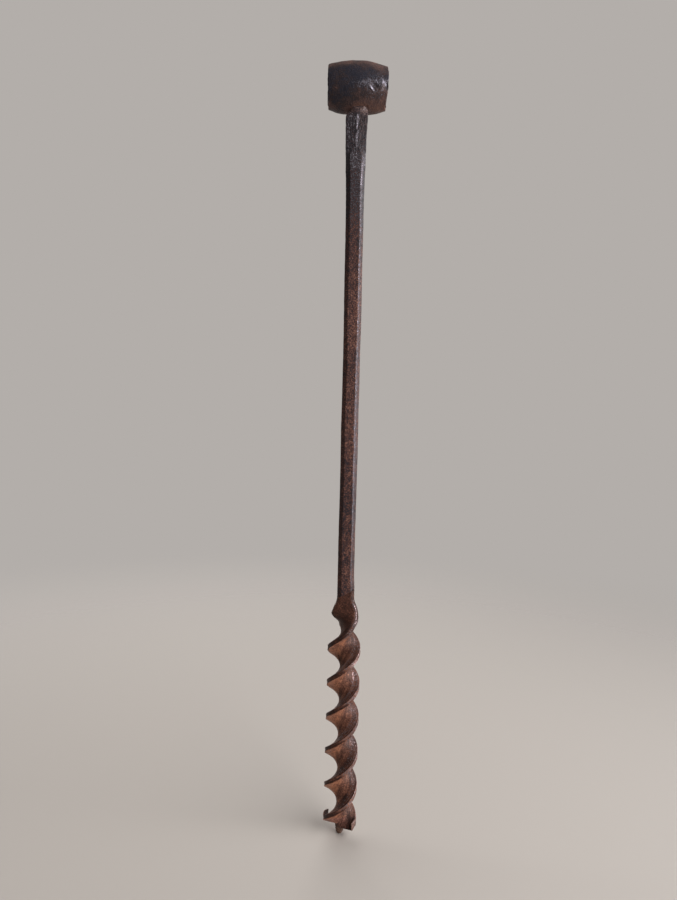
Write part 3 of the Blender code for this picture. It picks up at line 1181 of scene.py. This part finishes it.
    def patina(self, points: Array, along: Array, degrees: Array, outer: Array) -> Masks:
        """Masks of the eye: brown above and below, blue-black across the front, bright on the gouge.

        Args:
            points: Points of the eye.
            along: Place of each row along X.
            degrees: Angle of each column.
            outer: 1 on the outside and round the ends, 0 in the bore.

        Returns:
            Masks for rust, wear, and soot with painted shade.
        """
        raised = degrees - self.crown_droop * rise(along, *self.drooping_end)
        crown = 0.52 * rise(raised, *self.crown_foot)
        belly = 0.30 * rise(degrees, *self.belly_top)
        rear = 0.4 * rise(degrees, *self.rear_foot) * rise(degrees, *self.rear_top)
        right = 0.44 * rise(along, *self.right_end) * rise(degrees, *self.right_front)
        left = self.spot(self.left_rust, along, degrees)
        weld = self.spot(self.weld_rust, along, degrees * 0.8)
        mottle = 0.16 * noise(points, 11.0, 51) + 0.14 * noise(points, 3.0, 54)
        behind, beside = self.slant(self.gouge, along, degrees)
        recess = bell(behind, 3.2, 1.8) * bell(beside, 1.2, 3.0)
        wall = bell(behind, 0.1, 0.75) * bell(beside, 0.0, 2.9)
        rim = rise(along, 18.6, 2.0) * bell(degrees, self.battered_degrees, 6.5)
        flecks = rise(noise(points, 2.0, 57), 0.1, 0.5)
        lengthwise, crosswise = self.slant(self.smear, along, degrees)
        smear = (0.46 + 0.16 * flecks) * bell(crosswise, 0.0, 1.9) * bell(lengthwise, 0.0, 4.6)
        band = bell(degrees + 0.25 * along, self.battered_degrees, 12.0) * rise(along, -16.0, 30.0)
        scuffs = (0.2 + 0.35 * flecks) * self.spot(self.scuffs, along, degrees)
        scuffs = most(scuffs, smear, (0.39 + 0.06 * flecks) * band) * (1.0 - 0.8 * recess)
        return {
            "rust": 0.06 + mix(0.3, crown + belly + rear + right + left + weld, outer) + mottle,
            "wear_and_highlight": most(0.8 * wall, 0.62 * rim * smooth(0.5 + flecks), scuffs) * outer,
            # Darker in the bore, and painted shade in the recess of the gouge
            "soot_and_shade": most(0.55 * (1.0 - outer), 0.3 * recess),
        }


@dataclass
class Neck:
    """Ridged bar between the eye and the shank, ending in a tongue that laps onto the eye."""

    bar: ForgedBar
    eye: HandleEye
    sunk: float = 2.4
    tongue_foot: float = -24.0
    left_taper: float = 0.42
    right_taper: float = 0.06
    ridge_width: float = 0.65
    rows: int = 130
    outline: Outline = Outline(face=36, side=26, corner=30)

    def build(self) -> bpy.types.Object:
        """Run the bar's sections up from the scarf and bend the upper rows to sit inside the eye's wall.

        Each column is stretched so that its top lies on a cylinder about X, sunk below the eye's crown.

        Returns:
            The neck.
        """
        heights = np.linspace(self.bar.neck_top, self.bar.upper_weld, self.rows)
        skin = Skin(self.bar.grid(heights, self.outline))
        x, y, z = skin.axes()
        seat = -np.sqrt((self.eye.crown_radius - self.sunk) ** 2 - y * y)
        z = z + (seat - self.bar.neck_top) * self.bar.neck_share(heights)[:, None] ** 2
        taper = np.where(x < 0.0, self.left_taper, self.right_taper)
        skin.points = np.stack([x * (1.0 - rise(z, self.tongue_foot, 7.0) * taper), y, z], axis=-1)
        skin.soften(6)
        x, _, z = skin.axes()
        ridge = bell(x, self.bar.neck_lean, self.ridge_width) * self.bar.ridged(z)
        streaks = noise(skin.points * np.array([3.4, 3.4, 1.0]), 2.4, 61)
        tongue = rise(z, self.tongue_foot, 4.0)
        skin.push(self.bar.hammered(skin.points) + 0.22 * ridge + 0.12 * streaks * (1.0 - tongue))
        skin.masks = self.patina(skin, ridge, streaks, tongue)
        return skin.to_object("ridged_neck")

    def patina(self, skin: Skin, ridge: Array, streaks: Array, tongue: Array) -> Masks:
        """Masks of the neck: rubbed in streaks and on its ridge, painted shadow of the eye on its right,
        brown on the tongue.

        Args:
            skin: The finished surface.
            ridge: 1 on the ridge, 0 elsewhere.
            streaks: Noise drawn out along the neck.
            tongue: 1 on the tongue, 0 below it.

        Returns:
            Masks for rust, for wear with painted highlights, and for soot with painted shade.
        """
        bar = self.bar
        x, _, z = skin.axes()
        right = rise(x, 0.0, 3.0)
        worn_ridge = ridge * smooth(0.7 + noise(skin.points, 4.0, 64))
        # Less wear on the right side: part of the painted shadow of the eye
        rubbed = 0.26 + 0.34 * worn_ridge + 0.22 * streaks - 0.14 * right
        rubbed = rubbed * (1.0 - 0.8 * tongue) * rise(z, bar.upper_weld + 4.0, 14.0)
        # Painted highlight on the corner cut that looks right, at the neck's foot
        glint = 0.44 * bar.glint(skin) * bar.outer_dim(skin)
        # Painted shadow of the eye: the right side below the tongue is darkened
        right_painted_shadow = 0.38 * right * (1.0 - tongue) * rise(z, bar.upper_weld, 10.0)
        return {
            "rust": bar.rust(skin.points) + 0.5 * tongue + 0.25 * right,
            "wear_and_highlight": most(rubbed, bar.blued(skin), glint),
            "soot_and_shade": most(0.3 * pits(skin.points, 2.6, 67) ** 2, right_painted_shadow, bar.left_painted_shade(skin)),
        }


@dataclass
class Shank:
    """Long tapering bar with its corners hammered off."""

    bar: ForgedBar
    rows: int = 420
    outline: Outline = Outline(face=44, side=36, corner=18)

    def build(self) -> bpy.types.Object:
        """Run the bar's sections from the upper to the lower scarf, round their edges and roughen them.

        Returns:
            The shank.
        """
        heights = np.linspace(self.bar.upper_weld, self.bar.lower_weld, self.rows)
        skin = Skin(self.bar.grid(heights, self.outline))
        skin.soften(6)
        skin.push(self.bar.hammered(skin.points))
        skin.masks = self.patina(skin)
        return skin.to_object("tapered_shank")

    def patina(self, skin: Skin) -> Masks:
        """Masks of the shank: rusty, and bared along the inner arris of the cut that looks right, as a
        painted highlight.

        Args:
            skin: The finished surface.

        Returns:
            Masks for rust, for wear with painted highlights, and for soot with painted shade.
        """
        bar = self.bar
        right, front = skin.normals()[..., 0], -skin.normals()[..., 1]
        edges = skin.edges(8, 0.16) * smooth(0.6 + 0.8 * noise(skin.points, 5.0, 71))
        # Painted highlight: the worn edge is bared only where it looks right, towards the light
        arris = 0.56 * edges * bell(right, 0.42, 0.26) * smooth(2.0 * front)
        dim = bar.outer_dim(skin)
        # Painted highlight on the cut that looks right: less rust and bare metal
        cut = rise(right, 0.35, 0.3) * bell(front, 0.74, 0.34) * dim
        return {
            "rust": bar.rust(skin.points) - 0.2 * cut,
            "wear_and_highlight": most(arris, 0.36 * cut, bar.blued(skin) * dim, 0.46 * bar.glint(skin) * dim),
            "soot_and_shade": most(0.35 * pits(skin.points, 3.0, 74) ** 2, bar.left_painted_shade(skin)),
        }


@dataclass
class Twist:
    """Strip twisted right-handed under the spade that joins it to the shank."""

    bar: ForgedBar
    rows: int = 430
    outline: Outline = Outline(face=60, side=16, corner=9, roundness=1.6)

    def build(self) -> bpy.types.Object:
        """Run the bar's sections from the lower scarf to the top of the lips, turning as they go.

        Returns:
            The twist.
        """
        heights = np.linspace(self.bar.lower_weld, self.bar.lip_top, self.rows)
        skin = Skin(self.bar.grid(heights, self.outline))
        skin.soften(2)
        skin.push(self.bar.hammered(skin.points))
        skin.masks = self.bar.flights(skin)
        return skin.to_object("twisted_strip")


@dataclass
class CuttingEnd:
    """Two lips, two upturned wings and the worn lead screw at the foot of the twist."""

    bar: ForgedBar
    # Lips
    lip_inner: float = -0.6
    lip_relief: float = 0.7
    lip_drop: float = 1.3
    lip_slant: float = 2.1
    edge_radius: float = 0.45
    lip_rows: int = 20
    lip_outline: Outline = Outline(face=40, side=16, corner=6, roundness=1.6)
    # Wings
    wing_height: float = 5.9
    wing_wall: float = 1.7
    wing_edge: float = 0.95
    wing_lean: float = math.radians(4.0)
    wing_stand: float = 0.4
    wing_sunk: float = 0.5
    wing_ends: float = 0.09
    wing_short: float = 0.7
    right_rise: float = 0.3
    left_rise: float = 1.9
    wing_rows: int = 46
    wing_outline: Outline = Outline(face=10, side=26, corner=6, roundness=2.0)
    # Lead screw
    screw_root: float = 3.55
    screw_tip: float = 2.45
    screw_reach: float = 7.2
    screw_sunk: float = 2.0
    nose_start: float = 0.68
    thread_pitch: float = 2.3
    thread_height: float = 0.16
    screw_rows: int = 90
    screw_columns: int = 72

    def lip(self, side: Side) -> bpy.types.Object:
        """One lip: the outer half of the strip run down to a cutting edge with a worn, rounded arris.

        The foot rises from the leading to the trailing face, more so near the middle, and drops towards
        the middle. The last rows draw in along a quarter circle.

        Args:
            side: End of the strip that the lip continues.

        Returns:
            The lip.
        """
        bar = self.bar
        straight = np.linspace(0.0, 1.0, self.lip_rows)[:-1]
        quarter = np.linspace(0.0, math.pi / 2, 6)
        share = np.append(straight, np.ones(len(quarter)))[:, None]
        bend = np.append(np.zeros(len(straight)), quarter)[:, None]
        drawn_in = self.edge_radius * (1.0 - np.cos(bend))
        outer = bar.twist_diameter / 2
        half_x = (outer - self.lip_inner) / 2 - drawn_in
        half_y = bar.strip_depth / 2 - drawn_in
        x, y = self.lip_outline.section(half_x, half_y, bar.strip_cut, bar.strip_cut)
        x = x + (outer + self.lip_inner) / 2
        trailing = y / bar.strip_depth + 0.5
        inward = (outer - x) / outer
        relief = (self.lip_relief + self.lip_slant * inward) * trailing
        foot = bar.cutting_edge + self.edge_radius + relief - self.lip_drop * inward
        z = mix(bar.lip_top, foot, share) - self.edge_radius * np.sin(bend)
        points = np.stack([*turned(x, y, bar.turn(z) + side.value), z], axis=-1)
        skin = Skin(points)
        skin.push(0.06 * noise(points, 3.0, 91) + 0.03 * noise(points, 1.2, 94))
        skin.masks = bar.flights(skin)
        skin.masks["wear_and_highlight"] = most(skin.masks["wear_and_highlight"], 0.3 * rise(share, 0.9, 0.1))
        return skin.to_object(f"{side.name.lower()}_cutting_lip")

    def wing(self, side: Side) -> bpy.types.Object:
        """One wing: a curved plate on the leading face of a lip, level along its top and thin in front.

        Rows step backwards round the rim from the front edge to where the helix meets the level top.
        Each row is a rounded slice of the wall, and the slices at both ends draw in along a quarter
        circle.

        Args:
            side: Lip that the wing stands on.

        Returns:
            The wing.
        """
        bar = self.bar
        outer = bar.twist_diameter / 2
        end = float(bar.turn(np.array(bar.cutting_edge)))
        lag = math.asin(bar.strip_depth / 2 / outer)
        extra = self.left_rise if side is Side.LEFT else self.right_rise
        front = end - lag
        tail = front + bar.rate * (self.wing_height + extra - self.wing_short)
        step = np.linspace(0.0, 1.0, self.wing_rows)[:, None]
        closing = np.minimum(np.minimum(step, 1.0 - step) / self.wing_ends, 1.0)
        full = np.sqrt(np.clip(1.0 - (1.0 - closing) ** 2, 0.02, 1.0))
        wall = mix(self.wing_edge, self.wing_wall, rise(step, 0.0, 0.35)) / 2
        base = bar.cutting_edge + (mix(front, tail, step) + lag - end) / bar.rate - self.wing_sunk
        top = bar.cutting_edge + self.wing_height + extra * rise(step, 0.0, 0.6)
        tall = np.maximum((top - base) / 2, 0.5)
        cut = np.minimum(0.96 * wall, 0.45 * tall)
        x, y = self.wing_outline.section(wall, tall, cut, cut)
        radius = outer - wall + x * full + self.wing_stand
        z = (top + base) / 2 + y * mix(1.0, full, 0.35)
        raised = np.clip((z - base) / (2 * tall), 0.0, 1.0)
        lean = self.wing_lean * raised * (1.0 - rise(step, 0.0, 0.5))
        angle = mix(front, tail, step) - lean + side.value
        points = np.stack([radius * np.cos(angle), radius * np.sin(angle), z], axis=-1)
        skin = Skin(points)
        skin.push(0.05 * noise(points, 2.2, 101))
        outside = rise(radius, outer - 0.35, 0.3)
        # Outer face: lighter rust and bare metal, as wear and as painted light; inner face: painted shade
        skin.masks = {
            "rust": bar.rust(points) - 0.04 + 0.14 * outside,
            "wear_and_highlight": most(0.28 * outside, 0.34 * skin.edges(3, 0.1)),
            "soot_and_shade": 0.45 * (1.0 - outside),
        }
        return skin.to_object(f"{side.name.lower()}_upturned_wing")

    def screw(self) -> bpy.types.Object:
        """Worn lead screw: a taper with a faint helical ridge and a rounded tip, flat inside the strip.

        Returns:
            The lead screw.
        """
        bar = self.bar
        top, tip = bar.lip_top + self.screw_sunk, bar.cutting_edge - self.screw_reach
        z = np.linspace(top, tip, self.screw_rows)[:, None]
        angle = full_turn(self.screw_columns)
        below = np.clip((bar.cutting_edge - z) / self.screw_reach, 0.0, 1.0)
        nose = np.clip((below - self.nose_start) / (1.0 - self.nose_start), 0.0, 1.0)
        rounded = np.sqrt(np.clip(1.0 - nose**2.6, 0.03, 1.0))
        plain = mix(self.screw_root, self.screw_tip, below) * rounded
        thread = np.cos(angle - 2.0 * math.pi * z / self.thread_pitch)
        worn = rise(below, 0.0, 0.15) * (1.0 - nose)
        radius = plain + self.thread_height * worn * np.clip(thread, -0.3, 1.0)
        within, clear = bar.strip_depth / 2 - 0.15, self.screw_root + 0.3
        room = mix(within, clear, rise(z, bar.cutting_edge + 0.6, -1.4))
        through = np.clip(radius * np.sin(angle), -room, room)
        x, y = turned(radius * np.cos(angle), through, bar.turn(z))
        points = np.stack([x, y, z + 0.0 * angle], axis=-1)
        skin = Skin(points)
        skin.push(0.1 * rise(z, bar.cutting_edge, -1.0) * noise(points, 2.0, 111))
        skin.masks = {
            "rust": 0.32 + 0.2 * noise(points, 2.4, 114),
            "wear_and_highlight": 0.5 * below * np.clip(noise(points, 3.0, 117) + 0.4, 0.0, 1.0),
            "soot_and_shade": 0.15 * nose + 0.0 * angle,
        }
        return skin.to_object("worn_lead_screw")

    def build(self) -> None:
        """Make and dress the five pieces of the cutting end."""
        for side in Side:
            name = side.name.lower()
            finish(self.lip(side), LIP_STEEL, f"{name}_lip")
            finish(self.wing(side), WING_STEEL, f"{name}_wing")
        finish(self.screw(), SCREW_IRON, "lead_screw")


@dataclass(frozen=True)
class Softbox:
    """Large soft light that faces the middle of the auger.

    Attributes:
        name: Name of the light.
        azimuth: Direction in degrees from the front towards +X.
        elevation: Direction in degrees above the horizon.
        distance: Distance in metres.
        size: Width and height in metres.
        radiance: Brightness of its face, where 1 is white.
        colour: sRGB hex value of its light.
        reach: Whether it shades surfaces or is mirrored in them.
    """

    name: str
    azimuth: float
    elevation: float
    distance: float
    size: tuple[float, float]
    radiance: float
    colour: str
    reach: Reach

    def hang(self, target: Vector) -> None:
        """Make the light and turn it to the target. Power is radiance times pi times the area.

        Args:
            target: Point in metres that the light faces.
        """
        lamp = bpy.data.lights.new(self.name, "AREA")
        lamp.shape = "RECTANGLE"
        lamp.size, lamp.size_y = self.size
        lamp.energy = self.radiance * math.pi * self.size[0] * self.size[1]
        lamp.color = linear(self.colour)[:3]
        around, above = math.radians(self.azimuth), math.radians(self.elevation)
        level = math.cos(above)
        away = Vector((math.sin(around) * level, -math.cos(around) * level, math.sin(above)))
        light = link(self.name, lamp)
        light.location = target + away * self.distance
        light.rotation_euler = away.to_track_quat("Z", "Y").to_euler()
        light.visible_camera = False
        light.visible_glossy = self.reach is Reach.MIRROR
        light.visible_diffuse = self.reach is Reach.SHADE


@dataclass
class Studio:
    """Pale floor, soft light and the camera of the photograph.

    The camera's place, tilt, roll and focal length were fitted to the outline of the twist in a picture
    of 677 by 900 pixels. Lengths other than the camera's are in metres.
    """

    camera_mm: tuple[float, float, float] = (-8.25, -456.2, -271.35)
    look_down: float = 0.0164
    roll: float = math.radians(1.472)
    focal_px: float = 586.3
    image_height_px: float = 900.0
    sensor_mm: float = 36.0
    backdrop: str = "b3aeaa"
    ambient_colour: str = "fbf8f6"
    ambient: float = 0.08
    floor_colour: str = "bab5b0"
    floor_roughness: float = 0.9
    floor_radius: float = 1.6
    floor_rings: int = 23
    floor_spokes: int = 64
    fade_start: float = 0.1
    fade_end_share: float = 0.75
    softboxes: tuple[Softbox, ...] = (
        Softbox("window", 80.0, 14.0, 1.05, (0.8, 1.2), 12.0, "fdfaff", Reach.MIRROR),
        Softbox("front_fill", 58.0, 28.0, 1.4, (1.4, 1.4), 4.3, "fffbf8", Reach.SHADE),
        Softbox("low_fill", 30.0, -9.0, 1.2, (1.2, 0.25), 5.0, "fff6ee", Reach.SHADE),
        Softbox("rear_fill", 190.0, 28.0, 1.4, (1.2, 1.2), 3.0, "fffbf8", Reach.SHADE),
        Softbox("left_fill", 240.0, 18.0, 1.4, (0.9, 1.2), 2.2, "fffbf8", Reach.SHADE),
    )

    def place_camera(self) -> None:
        """Set the camera's axes from its tilt and roll."""
        lens = bpy.data.cameras.new("photo_camera")
        lens.sensor_width = self.sensor_mm
        lens.lens = self.focal_px * self.sensor_mm / self.image_height_px
        forward = Vector((0.0, math.cos(self.look_down), -math.sin(self.look_down)))
        level = Vector((1.0, 0.0, 0.0))
        upright = level.cross(forward)
        right = level * math.cos(self.roll) + upright * math.sin(self.roll)
        up = upright * math.cos(self.roll) - level * math.sin(self.roll)
        turn = Matrix((right, up, -forward)).transposed().to_4x4()
        camera = link("photo_camera", lens)
        camera.matrix_world = Matrix.Translation(Vector(self.camera_mm) * MM) @ turn
        bpy.context.scene.camera = camera

    def lay_floor(self, height: float) -> None:
        """Lay a round floor: rings whose radius grows with the square of their number, closed by a hub.

        Args:
            height: Height of the floor in metres.
        """
        share = np.linspace(0.0, 1.0, self.floor_rings + 1)[1:, None]
        radius, angle = share**2 * self.floor_radius, full_turn(self.floor_spokes)
        x, y = radius * np.cos(angle), radius * np.sin(angle)
        rings = np.stack([x, y, np.full_like(x, height)], axis=-1).reshape(-1, 3)
        grid = np.arange(len(rings)).reshape(self.floor_rings, self.floor_spokes)
        points = np.concatenate([rings, [[0.0, 0.0, height]]])
        floor = link_mesh("floor", points, strips(grid[:-1], grid[1:]), fan(len(rings), grid[0]))
        floor.data.materials.append(self.floor_material())

    def floor_material(self) -> bpy.types.Material:
        """Matt pale paper that turns transparent towards the floor's edge.

        Returns:
            The new material.
        """
        made = bpy.data.materials.new("pale_paper")
        made.use_nodes = True
        tree = made.node_tree
        shader = tree.nodes["Principled BSDF"]
        shader.inputs["Base Color"].default_value = linear(self.floor_colour)
        shader.inputs["Roughness"].default_value = self.floor_roughness
        place = add_node(tree, "TexCoord", output="Object")
        level = add_node(tree, "VectorMath", {1: (1.0, 1.0, 0.0)}, {0: place}, operation="MULTIPLY")
        reach = add_node(tree, "VectorMath", links={0: level}, output="Value", operation="LENGTH")
        ends = {"From Min": self.fade_start, "From Max": self.fade_end_share * self.floor_radius}
        falling = {**ends, "To Min": 1.0, "To Max": 0.0}
        fade = add_node(tree, "MapRange", falling, {"Value": reach}, interpolation_type="SMOOTHSTEP")
        tree.links.new(fade, shader.inputs["Alpha"])
        return made

    def light_world(self) -> None:
        """Soft grey light all round. Camera, glossy and clear rays see the pale backdrop instead."""
        world = bpy.data.worlds.new("studio")
        world.use_nodes = True
        bpy.context.scene.world = world
        tree = world.node_tree
        light = tree.nodes["Background"]
        light.inputs["Color"].default_value = linear(self.ambient_colour)
        light.inputs["Strength"].default_value = self.ambient
        pale = add_node(tree, "Background", {"Color": linear(self.backdrop), "Strength": 1.0})
        rays = add_node(tree, "LightPath").node.outputs
        shown = rays["Is Camera Ray"]
        for kind in ("Is Glossy Ray", "Is Transmission Ray"):
            shown = add_node(tree, "Math", links={0: shown, 1: rays[kind]}, operation="MAXIMUM")
        both = add_node(tree, "MixShader", links={0: shown, 1: light.outputs[0], 2: pale})
        tree.links.new(both, tree.nodes["World Output"].inputs["Surface"])

    def build(self) -> None:
        """Set up camera, floor, lights, world and the plain colour view."""
        low, high = CAD_BOX
        self.place_camera()
        self.lay_floor(low.z)
        for softbox in self.softboxes:
            softbox.hang((low + high) / 2)
        self.light_world()
        bpy.context.scene.view_settings.view_transform = "Standard"


def main() -> None:
    """Build the studio and the pieces of the auger in order."""
    logging.basicConfig(level=logging.INFO, format="%(name)s: %(message)s")
    Studio().build()
    low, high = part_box("handle_eye")
    eye = HandleEye(length=(high.x - low.x) / MM, crown_radius=high.z / MM)
    bar = ForgedBar()
    finish(eye.build(), EYE_IRON, "handle_eye")
    finish(Neck(bar, eye).build(), NECK_IRON, "neck")
    finish(Shank(bar).build(), SHANK_IRON, "shank")
    finish(Twist(bar).build(), TWIST_IRON, "twist")
    CuttingEnd(bar).build()


if __name__ == "__main__":
    main()
